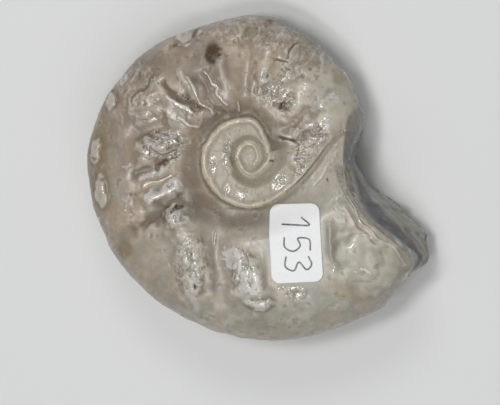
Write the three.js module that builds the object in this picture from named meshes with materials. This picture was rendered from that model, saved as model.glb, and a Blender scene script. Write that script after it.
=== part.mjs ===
// A ceratites ammonite fossil: one stone cast of a coiled shell, lying on its hidden flank, with a small
// paper number label stuck to the flank that faces up. Millimetres, +Z up, origin under the middle of
// the stone, on the surface that it rests on. The coil axis stands nearly upright.
import * as THREE from "three";

// Driving dimensions.
const HALF_THICKNESS = 13.8; // at the broken end of the last whorl
const THICKNESS_PER_TURN = 0.68; // share of that thickness left one whorl further in
const REST_FLAT_DEPTH = 0.6; // how much the resting lumps are worn flat
const LABEL = {
  width: 12, height: 18, corner: 2.1, thickness: 0.3, gap: 0.15, turn: 3.2,
  margin: 2.5, // how far the flat bed under it reaches past its edge
};
const LABEL_AT = new THREE.Vector2(11.6, -18.9); // from the coil's centre

const STONE_COLOUR = "#a1988a";
const PAPER_COLOUR = "#e4e4e1";

// Radius of the outline seen along the coil axis, by direction: [degrees anticlockwise from +X, mm].
const OUTLINE = [
  [30, 27.6], [41, 28.5], [51, 28.9], [61, 30.0], [71, 31.1], [81, 32.1], [91, 32.5], [111, 32.5],
  [121, 33.1], [131, 34.3], [141, 35.2], [151, 36.1], [161, 37.3], [171, 38.2], [181, 38.9], [200, 39.4],
  [220, 40.0], [240, 40.5], [257, 41.6], [274, 42.6], [284, 43.2], [295, 44.2], [304, 45.2], [311, 46.1],
  [318, 45.4], [323, 46.0], [328, 47.0], [331, 45.8], [334, 43.5], [336, 40.2], [338, 36.4], [340.5, 32.2],
  [343.5, 28.2], [349, 25.3], [356, 23.6], [364, 24.0], [371, 25.4], [379, 26.9],
];
// Where the upper flank stops at the broken end of the last whorl: [degrees from +X, mm].
const NEAR_EDGE = [
  [-60, 40.0], [-50, 43.6], [-43, 45.0], [-38, 45.4], [-33.5, 45.0], [-31, 44.0], [-28.3, 38.4],
  [-26, 32.6], [-20.4, 27.4], [-12.7, 23.9], [-0.5, 22.3], [9.7, 22.5], [18.8, 23.2], [34, 23.4],
];
// Radius of the spiral seam between whorls: [degrees clockwise from +X, unrolled inwards, mm].
const SEAM = [
  [-17, 24.1], [-14, 21.1], [-7, 17.9], [11, 14.4], [33, 12.2], [57, 11.5], [84, 11.2], [150, 11.1],
  [180, 11.1], [204, 10.6], [232, 10.2], [255, 9.7], [271, 9.4], [281, 8.7], [292, 7.6], [306, 6.6],
  [325, 5.9], [345, 5.3], [363, 4.8], [385, 4.2], [408, 4.0], [440, 4.2], [472, 3.7], [520, 3.1],
  [560, 3.1], [600, 3.5], [635, 3.5], [680, 2.5], [740, 1.9], [820, 1.3], [900, 0.8], [980, 0.3],
  [1080, 0.1], [1500, 0],
];
// Radius that each whorl's outer edge has, or would have where it is covered or broken away.
const VENTER = [
  [-17, 49.5], [10, 48.6], [30, 47.8], [42, 47.0], [49, 46.2], [56, 45.2], [65, 44.2], [76, 43.2],
  [86, 42.6], [103, 41.6], [120, 40.5], [140, 40.0], [160, 39.4], [179, 38.9], [189, 38.2],
  [199, 37.3], [209, 36.1], [219, 35.2], [229, 34.3], [239, 33.1], [249, 32.5], [269, 32.5], [279, 32.1],
  [289, 31.1], [299, 30.0], [309, 28.9], [319, 28.5], [330, 27.6], [341, 26.9], [356, 25.2], [380, 23.4],
  [450, 20.5], [540, 17.5], [630, 14.5], [720, 11.5], [1500, 4],
];
// Width of the slope from the seam up to the flank.
const UMBILICAL_SLOPE = [
  [-17, 17], [20, 13], [60, 8.5], [90, 7.5], [180, 6.5], [270, 5.2], [343, 4.6], [450, 2.6], [630, 2.0],
  [1500, 1],
];
const LAST_TURN = 700; // the coil's middle is plain beyond this turn angle
const TONGUE_TIP = -17; // turn angle at which the last whorl's covering of the inner one ends
const NUCLEUS_HEIGHT = 5.2;
// The last whorl's end overlaps the whorl inside it with a raised edge.
const LEDGE = { height: 1.3, width: 1.4, fade: 12 };
const SEAM_RIDGE = { width: 1.1, height: 0.3, inside: 0.6 }; // the light thread just inside the seam

// Shape of a whorl's section, as shares of the way from the seam to the outer edge.
const FLANK_END = 0.36; // where the flank starts to round over
const ROUNDING = { across: 2.8, down: 2.2 }; // exponents of the rounding
const ORDINARY_EDGE = 0.8;

// Ribs and grooves of the upper flank: points from the coil's centre, width, and height or depth.
const UPPER_RELIEF = [
  { path: [[-23.5, -14.5], [-18.8, -11], [-15.5, -8.5]], width: 2.8, height: -1.1 },
  { path: [[-28, -18], [-24.5, -15.3], [-18.8, -11]], width: 4.4, height: -0.5 },
  { path: [[-25.4, -3.2], [-21, -1.8], [-17.3, -0.1]], width: 2.4, height: -0.75 },
  { path: [[-25.5, 6.4], [-19.5, 7.4]], width: 4.0, height: -0.8 },
  { path: [[-19.3, 17], [-15.8, 14.6], [-11.5, 12.3]], width: 2.2, height: -0.7 },
  { path: [[-11.6, 19], [-8.4, 14.4], [-6, 11.6]], width: 1.8, height: -0.4 },
  { path: [[-0.2, 28], [0, 20], [0.2, 13.6]], width: 4.0, height: -0.6 },
  { path: [[10, 15], [7.4, 12.6]], width: 2.4, height: -0.6 },
  { path: [[15, 11.4], [11.5, 9.7], [8.5, 7.6]], width: 3.2, height: -1.1 },
  { path: [[12.4, 5], [9.8, 3], [6, 3]], width: 3.4, height: -0.9 },
  { path: [[-6.6, -16], [-6.4, -26], [-5.2, -33]], width: 6.8, height: -0.85 },
  { path: [[19.2, -16], [20.6, -24]], width: 4.0, height: -0.7 },
  { path: [[-16.2, -11.6], [-13.6, -18], [-11.4, -25], [-12.4, -31]], width: 7.0, height: 1.5 },
  { path: [[-0.8, -22.6], [1.6, -27], [3.4, -33.6]], width: 6.5, height: 1.3 },
  { path: [[-15.4, -5], [-22.8, -8.8]], width: 3.4, height: 1.0 },
  { path: [[-14.6, 3.4], [-24.4, 1.6]], width: 4.4, height: 0.8 },
  { path: [[-12.4, 9], [-18, 11.4], [-25, 12.8]], width: 4.6, height: 0.8 },
  { path: [[-8.8, 11.2], [-12, 15.6], [-15, 19.4]], width: 3.0, height: 0.5 },
  { path: [[-3.8, 12.8], [-5.2, 17.6], [-7, 22]], width: 3.4, height: 0.5 },
  { path: [[2.2, 12.6], [3.6, 20], [5, 26]], width: 3.8, height: 0.7 },
  { path: [[9.8, 13.8], [14, 17], [19, 20]], width: 6.0, height: 1.0 },
  { path: [[13, 7], [16.6, 8.6], [20.4, 10.6]], width: 5.4, height: 1.0 },
  { path: [[25, -20.6], [27.6, -23.4], [29.4, -26.4]], width: 11, height: 1.0 },
];
// Rough raised patches, blisters along the edge, and pits: centre, half lengths along x and y, height.
const UPPER_LUMPS = [
  { at: [-16.8, -12.9], half: [3.2, 2.6], height: 0.5 },
  { at: [-12.8, -23.9], half: [4.8, 8.4], height: 0.35 },
  { at: [-12.1, -28.6], half: [1.0, 1.0], height: -0.9 },
  { at: [-0.4, -25.3], half: [4.0, 5.6], height: 0.35 },
  { at: [3.1, -33], half: [4.0, 1.4], height: 0.5 },
  { at: [26.7, -23.2], half: [8.4, 8.0], height: 0.45 },
  { at: [13.8, 15.6], half: [3.6, 3.4], height: 0.5 },
  { at: [16.4, 8.6], half: [5.2, 3.8], height: 0.4 },
  { at: [12.1, 0.4], half: [3.6, 4.4], height: 0.4 },
  { at: [-20.2, 4.4], half: [4.6, 2.2], height: 0.4 },
  { at: [-34.6, -7.6], half: [1.7, 3.2], height: 0.8 },
  { at: [-35.4, 2.2], half: [1.6, 1.8], height: 0.6 },
  { at: [-33.0, 13.9], half: [1.8, 2.4], height: 0.7 },
  { at: [-15.2, 27.6], half: [2.6, 1.8], height: 0.6 },
  { at: [3.4, 16.4], half: [1.6, 2.0], height: -0.7 },
];
// The hidden flank's ribs run out from the slope round the seam, evenly apart.
const LOWER_RIBS = { count: 15, first: 12, start: 14, end: 0.82, lean: 9, width: 4.2, height: 0.9 };

// Spots of the hidden flank that the stone rests on: [degrees from +X, mm from the coil's centre].
const REST_SPOTS = [[-52, 31], [168, 25], [63, 19]];
const REST_SPOT_WIDTH = 9;
const REST_SPOT_HEIGHT = 0.9;

// The mesh: columns round the outline, and rows from the coil's centre to the outer edge. Rows are
// closer together where a column bends.
const COLUMNS = 106;
const UPPER_ROWS = [11, 10, 6]; // inside the disc's radius, from there over the flank, and down the edge
const LOWER_ROWS = [6, 7, 5];
const DISC_RADIUS = 12.6;
const STEPS = 40;
const LENGTH_PER_RADIAN = 5; // how much length a bend counts as, when rows are shared out

const toRadians = THREE.MathUtils.degToRad;
const mix = THREE.MathUtils.lerp;
const clamp = THREE.MathUtils.clamp;
const smooth = (t) => THREE.MathUtils.smoothstep(t, 0, 1);

// A smooth curve through [place, value] pairs, flat beyond its ends.
function track(points) {
  const slope = (i) => {
    const a = points[Math.max(i - 1, 0)];
    const b = points[Math.min(i + 1, points.length - 1)];
    return (b[1] - a[1]) / (b[0] - a[0]);
  };
  return (place) => {
    if (place <= points[0][0]) return points[0][1];
    const next = points.findIndex((p) => p[0] > place);
    if (next < 0) return points.at(-1)[1];
    const [x0, y0] = points[next - 1];
    const [x1, y1] = points[next];
    const span = x1 - x0;
    const t = (place - x0) / span;
    const bend0 = slope(next - 1) * span;
    const bend1 = slope(next) * span;
    const rise = y1 - y0;
    return y0 + t * (bend0 + t * (3 * rise - 2 * bend0 - bend1 + t * (bend0 + bend1 - 2 * rise)));
  };
}

// The same round a closed ring: the first and last pairs are repeated a turn away.
function ring(points) {
  const turn = (p, by) => [p[0] + by, p[1]];
  const closed = [...points.slice(-3).map((p) => turn(p, -360)), ...points,
    ...points.slice(0, 3).map((p) => turn(p, 360))];
  const start = points[0][0];
  const curve = track(closed);
  return (place) => curve(start + THREE.MathUtils.euclideanModulo(place - start, 360));
}

const outline = ring(OUTLINE);
const nearEdge = track(NEAR_EDGE);
const seam = track(SEAM);
const venter = track(VENTER);
const slopeWidth = track(UMBILICAL_SLOPE);
const halfThickness = (turn) => Math.max(
  HALF_THICKNESS * THICKNESS_PER_TURN ** (turn / 360),
  NUCLEUS_HEIGHT,
);

// Turn angle of the outermost whorl in a direction.
const outerTurn = (angle) => TONGUE_TIP + THREE.MathUtils.euclideanModulo(-angle - TONGUE_TIP, 360);

// Height of one whorl's flank over the median plane, as if no other whorl covered it.
function whorlHeight(turn, radius) {
  const inner = seam(turn);
  const share = clamp((radius - inner) / (venter(turn) - inner), 0, 0.999);
  const rounded = Math.max(0, (share - FLANK_END) / (1 - FLANK_END)) ** ROUNDING.across;
  const flank = halfThickness(turn) * (1 - rounded) ** (1 / ROUNDING.down);
  const foot = turn > LAST_TURN ? NUCLEUS_HEIGHT : whorlHeight(turn + 360, inner);
  const past = Math.max(0, radius - inner);
  const ledge = LEDGE.height * smooth(past / LEDGE.width) * (1 - smooth(past / LEDGE.fade));
  return mix(foot, flank, smooth(past / slopeWidth(turn))) + ledge * (1 - smooth((turn - 40) / 60));
}

// Height of the visible flank: the outermost whorl that reaches in as far as this radius.
function flankHeight(angle, radius) {
  let turn = outerTurn(angle);
  let ridge = 0;
  while (turn < 1000) {
    const offSeam = (radius - seam(turn) + SEAM_RIDGE.inside) / (SEAM_RIDGE.width / 2);
    ridge += SEAM_RIDGE.height * Math.exp(-(offSeam ** 2)) * smooth((turn - 10) / 40);
    if (offSeam >= 0 || turn > LAST_TURN) break;
    turn += 360;
  }
  return whorlHeight(turn, radius) + ridge * smooth(radius / 2);
}

// How much of a direction belongs to the broken end, and how much of that is hollowed out.
const brokenShare = (a) => smooth((a + 42) / 8) * (1 - smooth((a - 18) / 14));
const hollowShare = (a) => smooth((a + 37) / 5) * (1 - smooth((a + 12) / 14));
const signed = (angle) => THREE.MathUtils.euclideanModulo(angle + 180, 360) - 180;

// One column of the upper or lower half, in three curves of small steps: over the disc, over the flank
// and down the edge. A point is [radius, height].
function column(angle, upper) {
  const a = signed(angle);
  const turn = outerTurn(angle);
  const inner = seam(turn);
  const outer = outline(angle);
  const broken = brokenShare(a);
  const hollow = hollowShare(a);
  const ordinaryStart = mix(inner, outer, ORDINARY_EDGE);
  const brokenStart = upper ? nearEdge(a) : outer - 1.4;
  const start = Math.min(mix(ordinaryStart, brokenStart, broken), outer - 0.3);
  const edgeHeight = -broken * (0.5 + 6.5 * hollow);
  const side = upper ? 1 : -1;
  const steps = Array.from({ length: STEPS + 1 }, (_, i) => i / STEPS);
  const flankPoint = (radius) => [radius, side * flankHeight(angle, radius)];
  const disc = steps.map((t) => flankPoint(DISC_RADIUS * t));
  const flank = steps.map((t) => flankPoint(mix(DISC_RADIUS, start, t)));

  // From the flank's edge round to the widest line: an arc, or the face of the break.
  const top = flank.at(-1)[1];
  const roundedPart = (start - mix(inner, outer, FLANK_END)) / ((outer - inner) * (1 - FLANK_END));
  const reach = clamp(roundedPart, 0, 0.995);
  const first = Math.asin(reach ** (ROUNDING.across / 2));
  const edge = steps.map((t) => {
    const at = mix(first, Math.PI / 2, t);
    const across = (Math.sin(at) ** (2 / ROUNDING.across) - reach) / (1 - reach);
    const down = (Math.cos(at) / Math.cos(first)) ** (2 / ROUNDING.down);
    const scoop = upper ? 1.3 * hollow * Math.sin(Math.PI * t) : 0;
    const faceAcross = mix(Math.sin((t * Math.PI) / 2), t ** 1.6, hollow);
    const faceDown = mix(Math.cos((t * Math.PI) / 2), 1 - t, hollow);
    return [
      mix(start, outer, mix(across, faceAcross, broken)) - scoop,
      mix(edgeHeight, top, mix(down, faceDown, broken)),
    ];
  });
  edge[STEPS] = [outer, edgeHeight];
  return [disc, flank, edge];
}

// The same curve with fewer points, shared out by length and bend. Its first point is left out.
function thinned(curve, count) {
  const places = [0];
  for (let i = 1; i < curve.length; i++) {
    const [dr, dz] = [curve[i][0] - curve[i - 1][0], curve[i][1] - curve[i - 1][1]];
    const [nr, nz] = i + 1 < curve.length
      ? [curve[i + 1][0] - curve[i][0], curve[i + 1][1] - curve[i][1]] : [dr, dz];
    const bend = Math.abs(Math.atan2(dr * nz - dz * nr, dr * nr + dz * nz));
    places.push(places[i - 1] + Math.hypot(dr, dz) + bend * LENGTH_PER_RADIAN);
  }
  const points = [];
  let i = 1;
  for (let n = 1; n < count; n++) {
    const wanted = (places.at(-1) * n) / count;
    while (places[i] < wanted) i++;
    const t = (wanted - places[i - 1]) / (places[i] - places[i - 1]);
    points.push([0, 1].map((k) => mix(curve[i - 1][k], curve[i][k], t)));
  }
  return [...points, curve.at(-1)];
}

// Relief of a rib or groove at a point: highest on its path and fading out over half its width.
function strokeRelief({ path, width, height }, x, y) {
  let nearest = Infinity;
  for (let i = 1; i < path.length; i++) {
    const [ax, ay] = path[i - 1];
    const [bx, by] = path[i];
    const length2 = (bx - ax) ** 2 + (by - ay) ** 2;
    const t = clamp(((x - ax) * (bx - ax) + (y - ay) * (by - ay)) / length2, 0, 1);
    nearest = Math.min(nearest, Math.hypot(x - mix(ax, bx, t), y - mix(ay, by, t)));
  }
  return height * Math.exp(-((nearest / (width / 2)) ** 2));
}

// A lump is a dome with a rather steep edge.
function lumpRelief({ at, half, height }, x, y) {
  const reach = Math.hypot((x - at[0]) / half[0], (y - at[1]) / half[1]);
  return height * (1 - smooth((reach - 0.55) / 0.6));
}

const polarPoint = (angle, radius) => [
  radius * Math.cos(toRadians(angle)),
  radius * Math.sin(toRadians(angle)),
];

// The hidden flank's ribs, as strokes, with the worn lumps that the stone rests on.
const lowerRelief = [];
for (let i = 0; i < LOWER_RIBS.count; i++) {
  const angle = LOWER_RIBS.first + (i * 360) / LOWER_RIBS.count;
  const from = Math.min(LOWER_RIBS.start, seam(outerTurn(angle)) + 4);
  const to = outline(angle + LOWER_RIBS.lean) * LOWER_RIBS.end;
  if (to - from > 6) {
    const middle = polarPoint(angle + LOWER_RIBS.lean * 0.3, (from + to) / 2);
    lowerRelief.push({
      path: [polarPoint(angle, from), middle, polarPoint(angle + LOWER_RIBS.lean, to)],
      width: LOWER_RIBS.width,
      height: LOWER_RIBS.height,
    });
  }
}
for (const [angle, radius] of REST_SPOTS) {
  const [x, y] = polarPoint(angle, radius);
  lowerRelief.push({
    path: [[x, y], [x + 0.1, y]],
    width: REST_SPOT_WIDTH,
    height: REST_SPOT_HEIGHT,
  });
}
const reliefAt = (strokes, x, y) => strokes.reduce((sum, s) => sum + strokeRelief(s, x, y), 0);

// The plane through the three resting spots of the lower flank: height = level + slopeX x + slopeY y.
function restingPlane() {
  const spots = REST_SPOTS.map(([angle, radius]) => {
    const [x, y] = polarPoint(angle, radius);
    return new THREE.Vector3(x, y, -flankHeight(angle, radius) - reliefAt(lowerRelief, x, y));
  });
  const plane = new THREE.Plane().setFromCoplanarPoints(...spots);
  const { x, y, z } = plane.normal;
  return { level: -plane.constant / z, slopeX: -x / z, slopeY: -y / z };
}
const rest = restingPlane();

// Directions of the columns, evenly spaced along the outline.
function columnAngles() {
  const steps = 2880;
  const at = (i) => new THREE.Vector2(...polarPoint((i * 360) / steps, outline((i * 360) / steps)));
  const lengths = [0];
  for (let i = 1; i <= steps; i++) lengths.push(lengths[i - 1] + at(i).distanceTo(at(i - 1)));
  const angles = [];
  let i = 0;
  for (let c = 0; c < COLUMNS; c++) {
    const wanted = (lengths[steps] * c) / COLUMNS;
    while (lengths[i + 1] < wanted) i++;
    const part = (wanted - lengths[i]) / (lengths[i + 1] - lengths[i]);
    angles.push(((i + part) * 360) / steps);
  }
  return angles;
}

// The flat bed that the label is stuck on: the plane through the flank at the middles of its edges.
function labelBed() {
  const heightAt = (x, y) => flankHeight(THREE.MathUtils.radToDeg(Math.atan2(y, x)), Math.hypot(x, y));
  const { x, y } = LABEL_AT;
  const [w, h] = [LABEL.width / 2, LABEL.height / 2];
  const across = [heightAt(x - w, y), heightAt(x + w, y)];
  const along = [heightAt(x, y - h), heightAt(x, y + h)];
  return {
    level: (across[0] + across[1] + along[0] + along[1]) / 4,
    slopeX: (across[1] - across[0]) / LABEL.width,
    slopeY: (along[1] - along[0]) / LABEL.height,
  };
}
const bed = labelBed();

// Height of the upper side with its relief, which fades out towards the widest line.
function upperHeight(x, y, height, rim) {
  const outside = Math.max(
    Math.abs(x - LABEL_AT.x) - LABEL.width / 2,
    Math.abs(y - LABEL_AT.y) - LABEL.height / 2,
  );
  const underLabel = 1 - smooth(outside / LABEL.margin);
  const lumps = UPPER_LUMPS.reduce((sum, lump) => sum + lumpRelief(lump, x, y), 0);
  const free = height + reliefAt(UPPER_RELIEF, x, y) * rim + lumps;
  const onBed = bed.level + bed.slopeX * (x - LABEL_AT.x) + bed.slopeY * (y - LABEL_AT.y);
  return mix(free, onBed, underLabel);
}

function stonePoint(angle, radius, height, upper) {
  const [x, y] = polarPoint(angle, radius);
  const rim = smooth((outline(angle) - radius) / 3);
  const relieved = upper ? upperHeight(x, y, height, rim) : height - reliefAt(lowerRelief, x, y) * rim;
  const z = relieved - rest.level - rest.slopeX * x - rest.slopeY * y - REST_FLAT_DEPTH;
  return new THREE.Vector3(x, y, upper ? z : Math.max(z, 0));
}

// The stone: upper and lower halves of each column, which share the point on the widest line.
function stoneGeometry() {
  const angles = columnAngles();
  const vertices = [];
  const add = (p) => vertices.push(p) - 1;
  const topCentre = add(stonePoint(0, 0, flankHeight(0, 0), true));
  const bottomCentre = add(stonePoint(0, 0, -flankHeight(0, 0), false));
  const columns = angles.map((angle) => {
    const upper = column(angle, true).flatMap((curve, k) => thinned(curve, UPPER_ROWS[k]));
    const lower = column(angle, false).flatMap((curve, k) => thinned(curve, LOWER_ROWS[k]));
    lower.pop();
    lower.reverse();
    return [
      ...upper.map(([r, z]) => add(stonePoint(angle, r, z, true))),
      ...lower.map(([r, z]) => add(stonePoint(angle, r, z, false))),
    ];
  });
  const index = [];
  columns.forEach((here, number) => {
    const next = columns[(number + 1) % COLUMNS];
    index.push(topCentre, here[0], next[0]);
    for (let i = 1; i < here.length; i++) {
      const [a, b, c, d] = [here[i - 1], here[i], next[i], next[i - 1]];
      const along = vertices[a].distanceTo(vertices[c]);
      const across = vertices[b].distanceTo(vertices[d]);
      if (along < across) index.push(a, b, c, a, c, d);
      else index.push(a, b, d, b, c, d);
    }
    index.push(here.at(-1), bottomCentre, next.at(-1));
  });
  const geometry = new THREE.BufferGeometry().setFromPoints(vertices);
  geometry.setIndex(index);
  return geometry;
}

const stone = new THREE.Mesh(
  stoneGeometry(),
  new THREE.MeshStandardMaterial({ color: STONE_COLOUR, roughness: 0.45, metalness: 0 }),
);
stone.name = "ammonite";
stone.geometry.computeVertexNormals();

// The label is a stiff plate with round corners, laid on the flank as a flat plane.
function labelMesh() {
  const { width, height, corner, thickness, gap, turn } = LABEL;
  const [w, h] = [width / 2, height / 2];
  const shape = new THREE.Shape();
  shape.moveTo(w, h - corner);
  shape.absarc(w - corner, h - corner, corner, 0, Math.PI / 2);
  shape.absarc(-w + corner, h - corner, corner, Math.PI / 2, Math.PI);
  shape.absarc(-w + corner, -h + corner, corner, Math.PI, 1.5 * Math.PI);
  shape.absarc(w - corner, -h + corner, corner, 1.5 * Math.PI, 2 * Math.PI);
  const geometry = new THREE.ExtrudeGeometry(shape, {
    depth: thickness, bevelEnabled: false, curveSegments: 6,
  });

  // Heights of the stone under the label, and the plane that best fits them.
  const under = new THREE.Raycaster();
  const down = new THREE.Vector3(0, 0, -1);
  const spots = [];
  for (let i = -4; i <= 4; i++) {
    for (let j = -6; j <= 6; j++) {
      const off = new THREE.Vector2((w * i) / 4, (h * j) / 6);
      off.rotateAround(new THREE.Vector2(), toRadians(turn));
      under.set(new THREE.Vector3(LABEL_AT.x + off.x, LABEL_AT.y + off.y, 100), down);
      spots.push(new THREE.Vector3(off.x, off.y, under.intersectObject(stone)[0].point.z));
    }
  }
  const mean = spots.reduce((sum, s) => sum + s.z, 0) / spots.length;
  const slopeAlong = (axis) => spots.reduce((sum, s) => sum + s[axis] * (s.z - mean), 0)
    / spots.reduce((sum, s) => sum + s[axis] ** 2, 0);
  const [slopeX, slopeY] = [slopeAlong("x"), slopeAlong("y")];
  const lift = Math.max(...spots.map((s) => s.z - mean - slopeX * s.x - slopeY * s.y));
  const up = new THREE.Vector3(-slopeX, -slopeY, 1).normalize();

  const label = new THREE.Mesh(
    geometry,
    new THREE.MeshStandardMaterial({ color: PAPER_COLOUR, roughness: 0.6, metalness: 0 }),
  );
  label.name = "number_label";
  label.quaternion.setFromUnitVectors(new THREE.Vector3(0, 0, 1), up);
  label.rotateZ(toRadians(turn));
  label.position.set(LABEL_AT.x, LABEL_AT.y, mean + lift + gap);
  return label;
}

const ammonite = new THREE.Group();
ammonite.add(stone, labelMesh());

// Bring the middle of the stone's box over the origin.
const box = new THREE.Box3().setFromObject(stone);
ammonite.position.set(-(box.min.x + box.max.x) / 2, -(box.min.y + box.max.y) / 2, -box.min.z);

export default ammonite;
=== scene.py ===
"""A ceratites ammonite fossil that lies on its hidden flank, seen from above, with a paper label on it.

Plan sizes are in millimetres from the coil's centre, heights are over the whorls' median plane, and
angles are in degrees. The shape follows the frame's own driving dimensions and adds its fine relief.
"""
import math

import bpy
import numpy as np
from mathutils import Matrix, Vector


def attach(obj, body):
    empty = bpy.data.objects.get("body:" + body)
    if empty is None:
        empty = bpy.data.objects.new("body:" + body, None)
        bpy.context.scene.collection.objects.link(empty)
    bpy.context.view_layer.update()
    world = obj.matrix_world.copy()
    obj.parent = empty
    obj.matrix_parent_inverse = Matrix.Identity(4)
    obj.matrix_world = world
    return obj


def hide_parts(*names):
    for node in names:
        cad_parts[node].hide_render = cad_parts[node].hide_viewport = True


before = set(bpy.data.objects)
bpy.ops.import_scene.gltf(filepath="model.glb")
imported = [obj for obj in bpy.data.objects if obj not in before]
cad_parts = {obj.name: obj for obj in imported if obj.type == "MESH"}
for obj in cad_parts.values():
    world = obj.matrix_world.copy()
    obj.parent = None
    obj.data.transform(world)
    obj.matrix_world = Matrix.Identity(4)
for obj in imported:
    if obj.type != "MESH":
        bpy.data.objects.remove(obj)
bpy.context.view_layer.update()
MM = 0.001

# Driving dimensions of the stone, as in the frame.
HALF_THICKNESS = 13.8
THICKNESS_PER_TURN = 0.68
REST_FLAT_DEPTH = 0.6
NUCLEUS_HEIGHT = 5.2
LAST_TURN = 700
TONGUE_TIP = -17
OUTERMOST_END = TONGUE_TIP + 360  # turn angle past which the whorl inside the last one shows
FLANK_END = 0.36
ROUNDING_ACROSS, ROUNDING_DOWN = 2.8, 2.2
ORDINARY_EDGE = 0.8
DISC_RADIUS = 12.6
SEAM_RIDGE_HEIGHT = 0.3
THREAD_WIDTH, INNER_THREAD_WIDTH = 1.5, 1.0  # seen width of the thread, on the outer and inner seams
THREAD_INSIDE, INNER_THREAD_INSIDE = 0.7, 0.4  # its middle's distance inside the seam
LEDGE_HEIGHT, LEDGE_WIDTH, LEDGE_FADE = 1.3, 1.4, 12

LABEL_WIDTH, LABEL_HEIGHT, LABEL_CORNER = 12, 18, 2.1
LABEL_TURN = 3.2
LABEL_X, LABEL_Y = 11.6, -18.9
LABEL_MARGIN = 2.5

# [degrees anticlockwise from +X, mm]
OUTLINE = [
    (30, 27.6), (41, 28.5), (51, 28.9), (61, 30), (71, 31.1), (81, 32.1), (91, 32.5), (111, 32.5),
    (121, 33.1), (131, 34.3), (141, 35.2), (151, 36.1), (161, 37.3), (171, 38.2), (181, 38.9),
    (200, 39.4), (220, 40), (240, 40.5), (257, 41.6), (274, 42.6), (284, 43.2), (295, 44.2),
    (304, 45.2), (311, 46.1), (318, 45.4), (323, 46), (328, 47), (331, 45.8), (334, 43.5),
    (336, 40.2), (338, 36.4), (340.5, 32.2), (343.5, 28.2), (349, 25.3), (356, 23.6), (364, 24),
    (371, 25.4), (379, 26.9),
]
NEAR_EDGE = [
    (-60, 40), (-50, 43.6), (-43, 45), (-38, 45.4), (-33.5, 45), (-31, 44), (-28.3, 38.4),
    (-26, 32.6), (-20.4, 27.4), (-12.7, 23.9), (-0.5, 22.3), (9.7, 22.5), (18.8, 23.2), (34, 23.4),
]
# [degrees clockwise from +X, unrolled inwards, mm]
SEAM = [
    (-17, 24.1), (-14, 21.1), (-7, 17.9), (11, 14.4), (33, 12.2), (57, 11.5), (84, 11.2), (150, 11.1),
    (180, 11.1), (204, 10.6), (232, 10.2), (255, 9.7), (271, 9.4), (281, 8.7), (292, 7.6), (306, 6.6),
    (325, 5.9), (345, 5.3), (363, 4.8), (385, 4.2), (408, 4), (440, 4.2), (472, 3.7), (520, 3.1),
    (560, 3.1), (600, 3.5), (635, 3.5), (680, 2.5), (740, 1.9), (820, 1.3), (900, 0.8), (980, 0.3),
    (1080, 0.1), (1500, 0),
]
VENTER_AT_BREAK = [(-17, 49.5), (10, 48.6), (30, 47.8), (42, 47), (49, 46.2)]
VENTER_INSIDE = [
    (341, 26.9), (356, 25.2), (380, 23.4), (450, 20.5), (540, 17.5), (630, 14.5), (720, 11.5), (1500, 4),
]
VENTER = VENTER_AT_BREAK + [(360 - a, r) for a, r in reversed(OUTLINE) if a <= 304] + VENTER_INSIDE
UMBILICAL_SLOPE = [
    (-17, 17), (20, 13), (60, 8.5), (90, 7.5), (180, 6.5), (270, 5.2), (343, 4.6), (450, 2.6),
    (630, 2), (1500, 1),
]

# Ribs and grooves: path, width, height.
UPPER_RELIEF = [
    ([(-23.5, -14.5), (-18.8, -11), (-15.5, -8.5)], 2.8, -1.1),
    ([(-28, -18), (-24.5, -15.3), (-18.8, -11)], 4.4, -0.5),
    ([(-25.4, -3.2), (-21, -1.8), (-17.3, -0.1)], 2.4, -0.75),
    ([(-25.5, 6.4), (-19.5, 7.4)], 4, -0.8),
    ([(-19.3, 17), (-15.8, 14.6), (-11.5, 12.3)], 2.2, -0.7),
    ([(-11.6, 19), (-8.4, 14.4), (-6, 11.6)], 1.8, -0.4),
    ([(-0.2, 28), (0, 20), (0.2, 13.6)], 4, -0.6), ([(10, 15), (7.4, 12.6)], 2.4, -0.6),
    ([(15, 11.4), (11.5, 9.7), (8.5, 7.6)], 3.2, -1.1), ([(12.4, 5), (9.8, 3), (6, 3)], 3.4, -0.9),
    ([(-6.6, -16), (-6.4, -26), (-5.2, -33)], 6.8, -0.85),
    ([(19.2, -16), (20.6, -24)], 4, -0.7),
    ([(-16.2, -11.6), (-13.6, -18), (-11.4, -25), (-12.4, -31)], 7, 1.5),
    ([(-0.8, -22.6), (1.6, -27), (3.4, -33.6)], 6.5, 1.3),
    ([(-15.4, -5), (-22.8, -8.8)], 3.4, 1), ([(-14.6, 3.4), (-24.4, 1.6)], 4.4, 0.8),
    ([(-12.4, 9), (-18, 11.4), (-25, 12.8)], 4.6, 0.8),
    ([(-8.8, 11.2), (-12, 15.6), (-15, 19.4)], 3, 0.5),
    ([(-3.8, 12.8), (-5.2, 17.6), (-7, 22)], 3.4, 0.5),
    ([(2.2, 12.6), (3.6, 20), (5, 26)], 3.8, 0.7), ([(9.8, 13.8), (14, 17), (19, 20)], 6, 1),
    ([(13, 7), (16.6, 8.6), (20.4, 10.6)], 5.4, 1),
    ([(25, -20.6), (27.6, -23.4), (29.4, -26.4)], 11, 1),
]
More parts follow.
